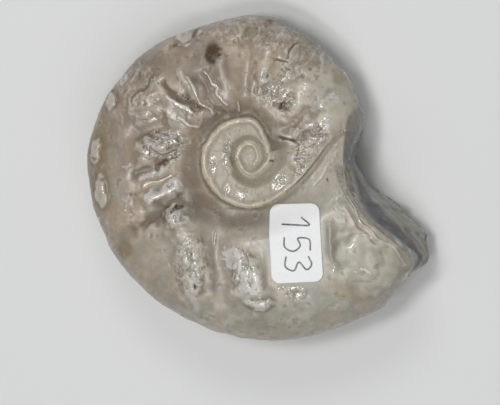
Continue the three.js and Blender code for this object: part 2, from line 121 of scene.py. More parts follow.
# Raised patches, blisters and pits: centre, half lengths, height.
UPPER_LUMPS = [
    ((-16.8, -12.9), (3.2, 2.6), 0.5), ((-12.8, -23.9), (4.8, 8.4), 0.35),
    ((-12.1, -28.6), (1, 1), -0.9), ((-0.4, -25.3), (4, 5.6), 0.35),
    ((3.1, -33), (4, 1.4), 0.5), ((26.7, -23.2), (8.4, 8), 0.45),
    ((14.2, 15.4), (5, 3.6), 0.4), ((16.4, 8.6), (5.2, 3.8), 0.4),
    ((12.1, 0.4), (3.6, 4.4), 0.4), ((-20.2, 4.4), (4.6, 2.2), 0.4),
    ((-34.6, -7.6), (1.7, 3.2), 0.8), ((-35.4, 2.2), (1.6, 1.8), 0.6),
    ((-33, 13.9), (1.8, 2.4), 0.7), ((-15.2, 27.6), (2.6, 1.8), 0.6),
    ((3.4, 16.4), (1.6, 2), -0.4),
]
LOWER_RIB_COUNT, LOWER_RIB_FIRST, LOWER_RIB_START, LOWER_RIB_END = 15, 12, 14, 0.82
LOWER_RIB_LEAN, LOWER_RIB_WIDTH, LOWER_RIB_HEIGHT = 9, 4.2, 0.9
REST_SPOTS = [(-52, 31), (168, 25), (63, 19)]
REST_SPOT_WIDTH, REST_SPOT_HEIGHT = 9, 0.9
# The break: how far its edge drops below the median plane, alone and at the hollow channel.
EDGE_DROP, CHANNEL_DROP = 0.5, 6.5
CHANNEL_SCOOP, CHANNEL_BOW = 1.3, 1.6
LOWER_STRIP = 1.4  # width of the lower half's own strip along the break

# Fine relief that only this model has. Thin ridges and cracks: path, width, height.
FINE_STROKES = [
    ([(-18.6, 14.6), (-15.4, 12.9), (-12.1, 11.1)], 0.6, 0.3),
    ([(-13.5, 19.1), (-11.2, 14.6), (-8.1, 11.1)], 0.65, 0.35),
    ([(-10, 19.8), (-6.5, 15.6), (-4.2, 13.2)], 0.6, 0.3),
    ([(-1.7, 13.4), (-1.8, 11.4)], 0.6, 0.25),
    ([(-18.4, 25.8), (-16.4, 26.9), (-13.8, 27.2), (-11.8, 29.6)], 0.9, -0.45),
    ([(22.7, -7.6), (26.7, -12.9), (32, -18.8), (36.6, -23.4)], 0.6, 0.25),
    ([(21.6, -8.4), (25.4, -13.6), (30.4, -19.2)], 0.7, -0.3),
    ([(-22.6, -9.4), (-18.6, -6.8), (-15.8, -5.2)], 1.3, 0.35),
    ([(-23.4, -5.6), (-19.6, -4.2), (-17, -3.4)], 0.6, 0.3),
    ([(-6.6, -16.8), (-6.8, -19.4)], 0.6, 0.3), ([(-15.1, 10.1), (-11.8, 8.1)], 0.6, 0.3),
    ([(-23, 18), (-26.3, 14.7), (-26.3, 12.7)], 0.7, -0.25),
    ([(-16.9, -11.2), (-15.6, -9.9)], 0.8, -0.7), ([(-20.4, -1.8), (-18.6, -0.8)], 0.8, -0.6),
    ([(8.2, 4.6), (10.2, 4)], 0.8, -0.6),
    ([(20.2, -23.3), (19.6, -20.3), (20.8, -18.2), (23.5, -17), (27.4, -16.7), (31, -17.9)], 1.2, -0.12),
    ([(24.2, -27.6), (28.4, -27), (31.4, -24.4), (32, -20.6)], 0.6, -0.08),
    ([(10.3, 26.6), (10, 24)], 0.5, -0.35), ([(7.4, 23.4), (9.4, 22.8)], 0.5, -0.35),
    ([(17.4, 24.6), (16.2, 22.4), (16.8, 20.4)], 0.5, 0.2),
    ([(18.6, -1.4), (15.6, -5.6)], 0.5, -0.15),
]
# Thin blisters of shell on the rim, with crisp edges: centre, half lengths, height.
RIM_BLISTERS = [
    ((-34.9, -8), (1.4, 2.9), 0.4), ((-35.6, 1.7), (1.3, 2.8), 0.4),
    ((-32.8, 12.9), (1.2, 1.8), 0.35), ((-29, 18.2), (0.9, 1.5), 0.3),
    ((-15.2, 28.4), (2.6, 1.7), 0.35), ((-36, -16), (1, 2.2), 0.25),
]
# Chips in the far lip of the break: direction, width in degrees, mm outwards.
LIP_CHIPS = [(-24.8, 1.3, 1.8), (-22.9, 0.8, 0.7), (-20.6, 1.1, 2.3), (-36, 1.6, -0.45)]
RIM_WAVE, RIM_WAVE_SIZE, RIM_WIDTH = 0.25, 6, 4.5  # the rim's unevenness, and how far in it reaches
THREAD_EXTRA = 0.22  # how much the seam thread stands up more than in the frame
TONGUE_CRACK_INSIDE, TONGUE_CRACK_WIDTH, TONGUE_CRACK_DEPTH = 0.2, 0.2, 0.35
THREAD_GROOVE_AT, THREAD_GROOVE_WIDTH, THREAD_GROOVE_DEPTH = 0.25, 0.28, 0.3
# Places where the surface is flaked and crinkled: centre, half lengths, share.
ROUGH_PATCHES = [
    ((-19.3, 3.4), (6.5, 4.2), 1), ((-16.8, -12.9), (3.8, 3), 1),
    ((-12.8, -24.1), (4.6, 8.6), 1), ((-0.4, -25.4), (4, 5.6), 0.9),
    ((3.1, -33.1), (4.4, 1.9), 0.8), ((11.8, -30.4), (3, 2.2), 0.8),
    ((9, 14.2), (2.8, 3.2), 1), ((14.4, 17), (4.4, 3.4), 0.25),
    ((14.6, 5.6), (5.4, 4.2), 1), ((11.4, -0.4), (3.8, 4.4), 1),
    ((5.2, 17), (5, 5.8), 0.5), ((7.5, 27.4), (7, 4.6), 0.45),
    ((12, 22.5), (9, 6), 0.35), ((-2, 30), (12, 4), 0.35),
    ((-26.4, 15.1), (8.5, 8.5), 0.35), ((-16, 12), (6, 6), 0.35),
]
# The same on the inner whorls, with smaller flakes.
DISC_FLAKES = [
    ((-4.6, 0.8), (2, 4.6), 0.8), ((-5, -6.9), (1.4, 2), 0.5),
    ((-1.8, -8), (2, 2), 0.5), ((6.7, -5), (3.4, 2.8), 0.6),
    ((-8.4, -2), (1.2, 4), 0.6), ((3.2, 4.2), (1.6, 2.2), 0.6),
]

# The fine relief all over: size of its features, then height.
SEED = 7
WARP_SIZE, WARP = 3.4, 0.7
WAVE_SIZE, WAVE_HEIGHT = 9, 0.22
FLAKE_SIZE, FLAKE_LEVELS, FLAKE_EDGE = 4.2, (-0.28, 0.02, 0.3), 0.05
FOLD_SIZE, FOLD_WIDTH, FOLD_HEIGHT = 2.2, 0.2, 0.3
DIMPLE_SIZE, DIMPLE_HEIGHT = 1.5, 0.03
GRAIN_SIZE, PIT_SIZE = 0.9, 1.6
FACET_SIZE, FACET_HEIGHT = 1.9, 0.28
WRINKLE_STRETCH, WRINKLE_TURN = 2.2, 15  # a fold's length over its width, and the radius where it is so
LOWER_ROUGHNESS = 0.45
# How the crests and hollows are told for the colours, which paint highlight on the crests and shade in the
# hollows: times blurred, then depth of a full hollow.
FINE_BLUR, FINE_HOLLOW = 4, 0.09
BROAD_BLUR, BROAD_HOLLOW = 14, 0.3
# Grid rows inside the disc's radius, from there over the flank, and down the edge.
UPPER_ROWS = (46, 74, 30)
LOWER_ROWS = (14, 26, 14)
COLUMNS = 760
KEPT_FACES = 0.62


def mix(a, b, t):
    return a + (b - a) * t


def smooth(t):
    t = np.clip(t, 0, 1)
    return t * t * (3 - 2 * t)


def window(value, start, rise, end, fall):
    """1 between two soft steps: up over rise from start, and down over fall from end."""
    return smooth((value - start) / rise) * (1 - smooth((value - end) / fall))


def bell(off, half_width):
    return np.exp(-((off / half_width) ** 2))


def spot(at, half, x, y, core=0.5, fade=0.6):
    """1 in an oval place's core, a share of its half lengths, and 0 beyond a soft edge."""
    reach = np.hypot((x - at[0]) / half[0], (y - at[1]) / half[1])
    return 1 - smooth((reach - core) / fade)


def track(points):
    """A smooth curve through (place, value) pairs, flat beyond its ends."""
    xs, ys = np.array(points, float).T
    before, after = np.maximum(np.arange(len(xs)) - 1, 0), np.minimum(np.arange(len(xs)) + 1, len(xs) - 1)
    slopes = (ys[after] - ys[before]) / (xs[after] - xs[before])

    def curve(place):
        p = np.clip(place, xs[0], xs[-1])
        k = np.clip(np.searchsorted(xs, p, side="right") - 1, 0, len(xs) - 2)
        span = xs[k + 1] - xs[k]
        t = (p - xs[k]) / span
        bend0, bend1, rise = slopes[k] * span, slopes[k + 1] * span, ys[k + 1] - ys[k]
        return ys[k] + t * (bend0 + t * (3 * rise - 2 * bend0 - bend1 + t * (bend0 + bend1 - 2 * rise)))

    return curve


def ring(points):
    """A smooth curve through (direction, value) pairs that closes round."""
    closed = [(a - 360, r) for a, r in points[-3:]] + points + [(a + 360, r) for a, r in points[:3]]
    curve, start = track(closed), points[0][0]
    return lambda place: curve(start + np.mod(place - start, 360))


outline, near_edge, seam = ring(OUTLINE), track(NEAR_EDGE), track(SEAM)
venter, slope_width = track(VENTER), track(UMBILICAL_SLOPE)


def half_thickness(turn):
    return np.maximum(HALF_THICKNESS * THICKNESS_PER_TURN ** (turn / 360), NUCLEUS_HEIGHT)


def outer_turn(angle):
    return TONGUE_TIP + np.mod(-angle - TONGUE_TIP, 360)


def whorl_height(turn, radius):
    """Height of one whorl's flank over the median plane, as if no other whorl covered it."""
    inner = seam(turn)
    share = np.clip((radius - inner) / (venter(turn) - inner), 0, 0.999)
    rounded = np.maximum(0, (share - FLANK_END) / (1 - FLANK_END)) ** ROUNDING_ACROSS
    flank = half_thickness(turn) * (1 - rounded) ** (1 / ROUNDING_DOWN)
    foot = np.full_like(flank, NUCLEUS_HEIGHT)
    inside = turn <= LAST_TURN
    if inside.any():
        foot[inside] = whorl_height(turn[inside] + 360, inner[inside])
    ledge = LEDGE_HEIGHT * window(radius - inner, 0, LEDGE_WIDTH, 0, LEDGE_FADE)
    ledge = ledge * (1 - smooth((turn - 40) / 60))
    return mix(foot, flank, smooth((radius - inner) / slope_width(turn))) + ledge


def visible_turn(angle, radius):
    """Turn angle of the outermost whorl that reaches in as far as this radius, with the seam thread."""
    turn = outer_turn(angle)
    ridge = np.zeros(radius.shape)
    active = np.ones(radius.shape, bool)
    while active.any():
        off_seam = radius - seam(turn)
        outermost = turn < OUTERMOST_END
        width = np.where(outermost, THREAD_WIDTH, INNER_THREAD_WIDTH)
        off_middle = off_seam + np.where(outermost, THREAD_INSIDE, INNER_THREAD_INSIDE)
        thread = SEAM_RIDGE_HEIGHT * bell(off_middle, width / 2) * smooth((turn - 10) / 40)
        ridge += np.where(active, thread, 0)
        active &= (off_seam < 0) & (turn <= LAST_TURN)
        turn = np.where(active, turn + 360, turn)
    return turn, ridge * smooth(radius / 2)


def flank_height(angle, radius):
    angle, radius = np.broadcast_arrays(*np.atleast_1d(angle, radius))
    turn, ridge = visible_turn(angle, radius)
    return whorl_height(turn, radius) + ridge


def signed(angle):
    return np.mod(angle + 180, 360) - 180


def broken_share(a):
    return window(a, -42, 8, 18, 14)


def hollow_share(a):
    return window(a, -37, 5, -12, 14)


def lip_chips(a):
    return sum(out * bell(a - at, wide) for at, wide, out in LIP_CHIPS)


def polar(angle, radius):
    return radius * np.cos(np.radians(angle)), radius * np.sin(np.radians(angle))


def half_surface(angles, upper, rows):
    """Radius and height of each grid point of the upper or lower half."""
    a = signed(angles)
    turn = outer_turn(angles)
    inner, outer = seam(turn), outline(angles) + lip_chips(a)
    broken, hollow = broken_share(a), hollow_share(a)
    broken_start = near_edge(a) if upper else outer - LOWER_STRIP
    start = np.minimum(mix(mix(inner, outer, ORDINARY_EDGE), broken_start, broken), outer - 0.3)
    edge_height = -broken * (EDGE_DROP + CHANNEL_DROP * hollow)
    side = 1 if upper else -1
    t_disc = (np.arange(1, rows[0] + 1) / rows[0])[:, None]
    t_flank = (np.arange(1, rows[1] + 1) / rows[1])[:, None]
    radius = np.vstack([DISC_RADIUS * t_disc + 0 * start, mix(DISC_RADIUS, start, t_flank)])
    height = side * flank_height(angles[None, :], radius)
    top = height[-1]
    reach = np.clip((start - mix(inner, outer, FLANK_END)) / ((outer - inner) * (1 - FLANK_END)), 0, 0.995)
    first = np.arcsin(reach ** (ROUNDING_ACROSS / 2))
    t = (np.arange(1, rows[2] + 1) / rows[2])[:, None]
    at = mix(first, math.pi / 2, t)
    across = (np.sin(at) ** (2 / ROUNDING_ACROSS) - reach) / (1 - reach)
    down = (np.clip(np.cos(at), 0, 1) / np.cos(first)) ** (2 / ROUNDING_DOWN)
    scoop = CHANNEL_SCOOP * hollow * np.sin(math.pi * t) if upper else 0
    face_across = mix(np.sin(t * math.pi / 2), t**CHANNEL_BOW, hollow)
    face_down = mix(np.cos(t * math.pi / 2), 1 - t, hollow)
    edge_radius = mix(start, outer, mix(across, face_across, broken)) - scoop
    edge_z = mix(edge_height, top, mix(down, face_down, broken))
    return np.vstack([radius, edge_radius]), np.vstack([height, edge_z])


def path_distance(path, x, y):
    """Distance in plan from a path of straight stretches."""
    nearest = np.full_like(x, np.inf)
    for (ax, ay), (bx, by) in zip(path, path[1:]):
        length2 = (bx - ax) ** 2 + (by - ay) ** 2
        t = np.clip(((x - ax) * (bx - ax) + (y - ay) * (by - ay)) / length2, 0, 1)
        nearest = np.minimum(nearest, np.hypot(x - mix(ax, bx, t), y - mix(ay, by, t)))
    return nearest


def stroke(path, width, height, x, y):
    return height * bell(path_distance(path, x, y), width / 2)


def lower_strokes():
    strokes = []
    for i in range(LOWER_RIB_COUNT):
        angle = LOWER_RIB_FIRST + i * 360 / LOWER_RIB_COUNT
        start = min(LOWER_RIB_START, float(seam(outer_turn(angle))) + 4)
        end = float(outline(angle + LOWER_RIB_LEAN)) * LOWER_RIB_END
        if end - start > 6:
            places = [(0, start), (0.3 * LOWER_RIB_LEAN, (start + end) / 2), (LOWER_RIB_LEAN, end)]
            path = [polar(angle + lean, r) for lean, r in places]
            strokes.append((path, LOWER_RIB_WIDTH, LOWER_RIB_HEIGHT))
    for angle, radius in REST_SPOTS:
        x, y = polar(angle, radius)
        strokes.append(([(x, y), (x + 0.1, y)], REST_SPOT_WIDTH, REST_SPOT_HEIGHT))
    return strokes


LOWER_RELIEF = lower_strokes()


def relief(strokes, x, y):
    return sum(stroke(*item, x, y) for item in strokes)


def strongest(strokes, x, y):
    return np.max([stroke(*item, x, y) for item in strokes], axis=0)


def patch_share(patches, x, y):
    return np.max([amount * spot(at, half, x, y) for at, half, amount in patches], axis=0)


def plane_through(points):
    """(level, slope in x, slope in y) of the plane through three points."""
    m = np.array([(1, x, y) for x, y, z in points])
    return np.linalg.solve(m, np.array([z for x, y, z in points]))


def resting_plane():
    points = []
    for angle, radius in REST_SPOTS:
        x, y = polar(angle, radius)
        lumps = relief(LOWER_RELIEF, np.array([x]), np.array([y]))[0]
        points.append((x, y, -flank_height(angle, radius)[0] - lumps))
    return plane_through(points)


REST_LEVEL, REST_X, REST_Y = resting_plane()


def under_label(x, y):
    """1 under the label, and 0 a little outside its edge."""
    outside = np.maximum(np.abs(x - LABEL_X) - LABEL_WIDTH / 2, np.abs(y - LABEL_Y) - LABEL_HEIGHT / 2)
    return 1 - smooth(outside / LABEL_MARGIN)


ring_angles = np.arange(0, 360, 0.125)
ring_x, ring_y = polar(ring_angles, outline(ring_angles))
CENTRE_X = -(ring_x.min() + ring_x.max()) / 2
CENTRE_Y = -(ring_y.min() + ring_y.max()) / 2


def to_frame(x, y, z):
    """From the coil's own place to the frame, in millimetres: the stone leans onto its resting spots."""
    lean = z - REST_LEVEL - REST_X * x - REST_Y * y - REST_FLAT_DEPTH
    return np.stack([x + CENTRE_X, y + CENTRE_Y, lean], axis=-1)


# Noise. Every call gives values from about -1 to 1 that depend on the place alone.
def lattice(ix, iy, iz, seed):
    h = ix * np.uint32(374761393) + iy * np.uint32(668265263) + iz * np.uint32(2246822519)
    h = h + np.uint32(seed) * np.uint32(3266489917)
    h = (h ^ (h >> np.uint32(13))) * np.uint32(1274126177)
    h = (h ^ (h >> np.uint32(16))) * np.uint32(2246822519)
    return (h ^ (h >> np.uint32(15))).astype(np.float64) / 2147483648.0 - 1


def noise(p, size, seed):
    q = p / size + 1000
    base = np.floor(q)
    f = q - base
    f = f * f * f * (f * (f * 6 - 15) + 10)
    i = base.astype(np.uint32)
    total = 0
    for corner in range(8):
        step = [(corner >> k) & 1 for k in range(3)]
        weight = 1
        for k in range(3):
            weight = weight * (f[..., k] if step[k] else 1 - f[..., k])
        cell = [i[..., k] + np.uint32(step[k]) for k in range(3)]
        total = total + weight * lattice(*cell, seed)
    return total


def fractal(p, size, octaves, seed, gain=0.5):
    total, amount, whole = 0, 1, 0
    for k in range(octaves):
        total = total + amount * noise(p, size / 2**k, seed + 17 * k)
        whole += amount
        amount *= gain
    return total / whole * 1.6


def facets(p, size, seed):
    """Height and tone of a surface broken into small tilted facets with sharp edges."""
    q = p / size + 1000
    base = np.floor(q)
    nearest = np.full(q.shape[:-1], np.inf)
    height, tone = np.zeros_like(nearest), np.zeros_like(nearest)
    for k in range(27):
        cell = base + (k % 3 - 1, k // 3 % 3 - 1, k // 9 - 1)
        i = [cell[..., axis].astype(np.uint32) for axis in range(3)]
        off = [q[..., axis] - cell[..., axis] - 0.5 - 0.45 * lattice(*i, seed + axis) for axis in range(3)]
        distance = off[0] ** 2 + off[1] ** 2 + off[2] ** 2
        closer = distance < nearest
        tilt = lattice(*i, seed + 5) * off[0] + lattice(*i, seed + 6) * off[1]
        nearest = np.where(closer, distance, nearest)
        height = np.where(closer, 0.5 * lattice(*i, seed + 7) + 0.9 * tilt, height)
        tone = np.where(closer, lattice(*i, seed + 8), tone)
    return height, tone


def along_radius(p):
    """Places squeezed along the radius, so that what noise draws there runs outwards, as folds do."""
    radius = np.hypot(p[..., 0], p[..., 1])
    angle = np.arctan2(p[..., 1], p[..., 0])
    turned = [WRINKLE_TURN * np.cos(angle), WRINKLE_TURN * np.sin(angle)]
    return np.stack([radius / WRINKLE_STRETCH, *turned], axis=-1)


def rough_facets(p):
    p = along_radius(p)
    bent = p + 0.35 * np.stack([fractal(p, 1.8, 2, SEED + 70 + k) for k in range(3)], axis=-1)
    return facets(bent, FACET_SIZE, SEED + 80)


def columns_along(count):
    """Directions evenly spaced along the outline."""
    angles = np.append(ring_angles, 360)
    x, y = polar(angles, outline(angles))
    length = np.concatenate([[0], np.cumsum(np.hypot(np.diff(x), np.diff(y)))])
    return np.interp(np.arange(count) * length[-1] / count, length, angles)


def grid_normals(points):
    """Normals of a grid of points that runs from the centre outwards and closes round."""
    round_ = np.roll(points, -1, axis=1) - np.roll(points, 1, axis=1)
    out = np.gradient(points, axis=0)
    n = np.cross(out, round_)
    return n / np.maximum(np.linalg.norm(n, axis=-1, keepdims=True), 1e-9)


def warped(x, y):
    """Places shifted a little, so that what is drawn at them has uneven edges."""
    p = np.stack([x, y, 0 * x], axis=-1)
    shift = [WARP * fractal(p, WARP_SIZE, 2, SEED + 40 + k) for k in range(2)]
    return x + shift[0], y + shift[1]


def fine_relief(p, rough):
    """Height of the fine relief along the normal: soft waves, flakes with sharp edges, folds, grain."""
    layers = fractal(p, FLAKE_SIZE, 4, SEED + 2)
    flakes = sum(smooth((layers - level) / FLAKE_EDGE + 0.5) for level in FLAKE_LEVELS) - 1.5
    folds = np.clip(1 - np.abs(fractal(along_radius(p), FOLD_SIZE, 2, SEED + 3)) / FOLD_WIDTH, 0, 1)
    folded = rough * past_disc(np.hypot(p[..., 0], p[..., 1]))
    pits = smooth((fractal(p, PIT_SIZE, 2, SEED + 5) - 0.75) / 0.15)
    return (
        WAVE_HEIGHT * fractal(p, WAVE_SIZE, 3, SEED + 1)
        + flakes * mix(0.035, 0.2, rough)
        + folds * folded * FOLD_HEIGHT
        + DIMPLE_HEIGHT * fractal(p, DIMPLE_SIZE, 2, SEED + 6) * rough
        + FACET_HEIGHT * rough_facets(p)[0] * smooth((folded - 0.3) / 0.5)
        + fractal(p, GRAIN_SIZE, 3, SEED + 4) * mix(0.008, 0.02, rough)
        - pits * mix(0.1, 0.3, rough)
    )


def past_disc(radius):
    """0 on the inner whorls that show, and 1 from just outside them."""
    return smooth((radius - 10.5) / 1.5)


def thread_wander(p):
    """How far out a place counts as moved for the seam thread, so that the thread is uneven."""
    return 0.35 * fractal(p, 2.6, 3, SEED + 9)


def blurred(grid, times):
    """A grid of values made softer, closed round its columns."""
    for _ in range(times):
        grid = (np.roll(grid, 1, axis=1) + 2 * grid + np.roll(grid, -1, axis=1)) / 4
        grid = (grid[np.r_[0, : len(grid) - 1]] + 2 * grid + grid[np.r_[1 : len(grid), len(grid) - 1]]) / 4
    return grid


def tongue_crack(angle, radius):
    """Share of the crack where the last whorl's tongue lies over the whorl inside it."""
    turn = outer_turn(angle)
    off = radius - seam(turn) + TONGUE_CRACK_INSIDE
    return bell(off, TONGUE_CRACK_WIDTH) * (1 - smooth((turn - 40) / 40))


def thread_groove(angle, radius):
    """Share of the narrow groove along the outer side of the seam thread."""
    turn = outer_turn(angle)
    off = radius - seam(turn) - THREAD_GROOVE_AT
    return bell(off, THREAD_GROOVE_WIDTH) * smooth((turn - 40) / 40)


def stone_half(angles, upper, rows):
    """Grid points of the upper or lower half in the coil's own place, with ribs and lumps on them.

    The last three grids are the ribs' and lumps' own height, the share under the label, and the radius.
    """
    radius, height = half_surface(angles, upper, rows)
    x, y = polar(angles[None, :], radius)
    rim = smooth((outline(angles)[None, :] - radius) / 3)
    if not upper:
        shaped = relief(LOWER_RELIEF, x, y) * rim
        return x, y, height - shaped, shaped, np.zeros_like(x), radius
    places = warped(x, y)
    shaped = relief(UPPER_RELIEF, *places) * rim
    for lumps, core, fade in ((UPPER_LUMPS, 0.55, 0.6), (RIM_BLISTERS, 0.8, 0.3)):
        for at, half, rise in lumps:
            shaped = shaped + rise * spot(at, half, *places, core, fade)
    flat = under_label(x, y)
    return x, y, height + shaped * (1 - flat), shaped, flat, radius


def roughness(x, y, radius, upper, on_top):
    """Share of flakes and folds at each grid point."""
    rough = np.maximum(patch_share(ROUGH_PATCHES, x, y) * on_top, 0.3 * (1 - on_top))
    rough = mix(rough, 0.1, 0.95 * (1 - past_disc(radius)))
    return np.where(upper, np.maximum(rough, patch_share(DISC_FLAKES, x, y)), LOWER_ROUGHNESS)


def thread_relief(points, angles, radius):
    """What the seam thread, its groove and the tongue's crack add to the height."""
    angles = np.broadcast_to(angles, radius.shape)
    uneven = radius + thread_wander(points)
    thread = THREAD_EXTRA * visible_turn(angles, uneven)[1] / SEAM_RIDGE_HEIGHT
    groove = THREAD_GROOVE_DEPTH * thread_groove(angles, uneven)
    return thread - groove - TONGUE_CRACK_DEPTH * tongue_crack(angles, radius)


def closed_faces(rows, cols):
    """Faces of a grid that closes round its columns and ends in a point above and below."""
    number = np.arange(rows * cols).reshape(rows, cols)
    after = np.roll(number, -1, axis=1)
    quads = np.stack([number[:-1], number[1:], after[1:], after[:-1]], axis=-1).reshape(-1, 4)
    top_point, low_point = rows * cols, rows * cols + 1
    caps = [(top_point, int(number[0, i]), int(after[0, i])) for i in range(cols)]
    caps += [(low_point, int(after[-1, i]), int(number[-1, i])) for i in range(cols)]
    return quads.tolist() + caps


def stone_mesh():
    angles = columns_along(COLUMNS)
    top, bottom = stone_half(angles, True, UPPER_ROWS), stone_half(angles, False, LOWER_ROWS)
    upper_rows = sum(UPPER_ROWS)
    # One grid from the upper centre over the edge to the lower centre.
    x, y, z, shaped, flat, radius = [np.vstack([a, b[:-1][::-1]]) for a, b in zip(top, bottom)]
    points = np.stack([x, y, z], axis=-1)
    upper = np.ones(x.shape)
    upper[upper_rows:] = 0
    normals = grid_normals(points)
    if normals[upper_rows // 2, :, 2].sum() < 0:
        normals = -normals
    on_top = smooth((normals[..., 2] + 0.1) / 0.4)
    rough = roughness(x, y, radius, upper > 0, on_top)
    free = 1 - flat
    height = fine_relief(points, rough) * free * smooth(radius / 1.5)
    height += relief(FINE_STROKES, *warped(x, y)) * upper * free * on_top
    at_rim = smooth((radius - outline(angles)[None, :] + RIM_WIDTH) / RIM_WIDTH)
    height += RIM_WAVE * fractal(points, RIM_WAVE_SIZE, 4, SEED + 8, 0.6) * at_rim
    height += thread_relief(points, angles, radius) * upper
    total = (shaped + height) * free
    soft = blurred(total, FINE_BLUR)
    hollows = (total - soft) / FINE_HOLLOW + (soft - blurred(soft, BROAD_BLUR)) / BROAD_HOLLOW
    crests = np.clip(hollows, -1, 1)
    points = points + normals * height[..., None]
    points = to_frame(points[..., 0], points[..., 1], points[..., 2])
    points[upper_rows:, :, 2] = np.maximum(points[upper_rows:, :, 2], 0)
    middle = flank_height(0, 0.01)[0]
    ends = [to_frame(0, 0, middle), to_frame(0, 0, -middle)]
    mesh = bpy.data.meshes.new("ammonite_stone")
    mesh.from_pydata((np.vstack([points.reshape(-1, 3), *ends]) * MM).tolist(), [], closed_faces(*x.shape))
    set_share(mesh, "crest", np.append(crests.ravel(), (0, 0)))
    set_share(mesh, "rough", np.append(rough.ravel(), (0.2, 0.4)))
    mesh.validate()
    mesh.shade_smooth()
    return mesh


def new_object(name, mesh):
    obj = bpy.data.objects.new(name, mesh)
    bpy.context.scene.collection.objects.link(obj)
    return obj


def apply_modifiers(obj):
    """Puts the result of the object's modifiers in its mesh."""
    result = bpy.data.meshes.new_from_object(obj.evaluated_get(bpy.context.evaluated_depsgraph_get()))
    obj.modifiers.clear()
    obj.data = result


def coil_place(mesh):
    """Places of a mesh's vertices in plan from the coil's centre, and heights over the median plane."""
    co = np.empty(len(mesh.vertices) * 3)
    mesh.vertices.foreach_get("co", co)
    x, y, z = (co.reshape(-1, 3) / MM).T
    x, y = x - CENTRE_X, y - CENTRE_Y
    return x, y, z + REST_LEVEL + REST_X * x + REST_Y * y + REST_FLAT_DEPTH


def set_share(mesh, name, values):
    attribute = mesh.attributes.new(name, "FLOAT", "POINT")
    attribute.data.foreach_set("value", np.asarray(values, np.float32))


# Colour places of the stone, in plan. Brown stains: centre, half lengths, share, or path, width, share.
BROWN_PATCHES = [
    ((-8.1, 24.3), (2.7, 3.1), 1.3), ((-8.4, 23.4), (1.3, 1.2), 1.6),
    ((-29.2, -21.1), (2.8, 2.6), 0.5), ((-10, -10.6), (6, 4.4), 0.5),
    ((-1.8, -13.2), (8.5, 3.2), 0.55), ((4.1, 31), (1.3, 1.2), 0.8),
    ((-23.5, 21), (7, 4), 0.3), ((-27, 3), (12, 9), 0.32),
    ((-35.5, 0), (4.5, 16), 0.42), ((-9, 21), (7.5, 6), 0.44),
    ((-5.6, -24), (4.5, 9), 0.16),
]
BROWN_STROKES = [
    ([(-19, 17), (-15.8, 14.6), (-10.2, 12.1)], 1.6, 0.85),
    ([(-16.4, 15.3), (-13.6, 13.6), (-11.4, 12.2)], 0.6, 0.8),
    ([(-16.9, 24.2), (-16.6, 22)], 0.45, 0.7), ([(-16.5, 19.9), (-16.1, 18.6)], 0.45, 0.8),
    ([(-26, -3.9), (-21.2, -1.9), (-16.6, 0.3)], 1.1, 0.6),
    ([(-21.4, -1.9), (-17.4, -0.1)], 0.5, 0.8),
    ([(-27, -17), (-23.5, -14.5), (-18.8, -11), (-15.5, -8.5)], 2.4, 0.75),
    ([(9.4, 13.4), (8, 12)], 1.4, 0.9), ([(15, 11.4), (11.5, 9.7), (8.5, 7.6)], 2.6, 0.35),
    ([(-11.6, 19), (-8.4, 14.4)], 1.2, 0.6),
    ([(-17.6, 26), (-15.8, 26.2), (-13.8, 27.5), (-11.8, 30)], 0.6, 0.9),
    ([(-23, 18), (-26.3, 14.7), (-26.3, 12.7)], 0.5, 0.6),
    ([(-16.9, -11.2), (-15.4, -9.7)], 0.9, 1.3), ([(-20.4, -1.8), (-18.6, -0.8)], 0.8, 1.3),
    ([(7.6, 4.8), (10.2, 4)], 0.9, 1.2), ([(12.2, 5.6), (16.4, 7.4)], 1.4, 0.7),
    ([(7.2, 11.8), (8.2, 13.2)], 1, 1.3), ([(10.3, 26.6), (10, 24)], 0.5, 0.8),
    ([(7.4, 23.4), (9.4, 22.8)], 0.6, 0.8),
    ([(20.2, -22), (19.8, -19.8), (21.2, -18.2), (24, -17.2)], 1.8, 0.3),
    ([(-28.4, -7.4), (-27.4, -7.8)], 0.9, 0.7), ([(-26.2, -7.5), (-25.6, -7.7)], 0.8, 0.9),
    ([(-33.4, 12), (-33, 14.4), (-31.8, 15.2)], 0.6, 0.9),
    ([(-36.4, -3.2), (-35.6, -4.4)], 0.8, 0.8), ([(-4.6, -14.4), (-3.4, -15.4)], 1.1, 0.6),
]
# Other tints: centre, half lengths, share.
WARM_PATCHES = [((13, 23), (15, 9), 0.9), ((4, 27), (12, 7), 0.6), ((30, -29), (8, 5), 0.4)]
OCHRE_PATCHES = [
    ((13.1, 27.2), (2.4, 1.8), 0.8), ((20.8, 19.3), (2, 3.2), 0.8),
    ((-28.6, -21.4), (1.6, 2.6), 0.6), ((23, -29.4), (4.2, 2.6), 0.3),
    ((-35.2, 0), (3.6, 13), 0.4),
]
# Paler places, partly paler stone and partly painted sheen on the rib crests and the right shoulder:
# centre, half lengths, share.
PALE_AND_SHEEN_PATCHES = [
    ((17, 14), (9, 9), 0.8), ((18.6, -6), (5, 5), 0.3), ((18.4, 8.8), (4, 3.4), 1),
    ((13.6, 5), (4.6, 3.6), 0.5), ((-12.8, -22), (5, 9), 0.5),
    ((0.5, -27), (5, 8), 0.5),
]
# The greenish, duller lobe beside the break.
LOBE_PATCH = [((27.6, -22.6), (9.4, 8.4), 1)]
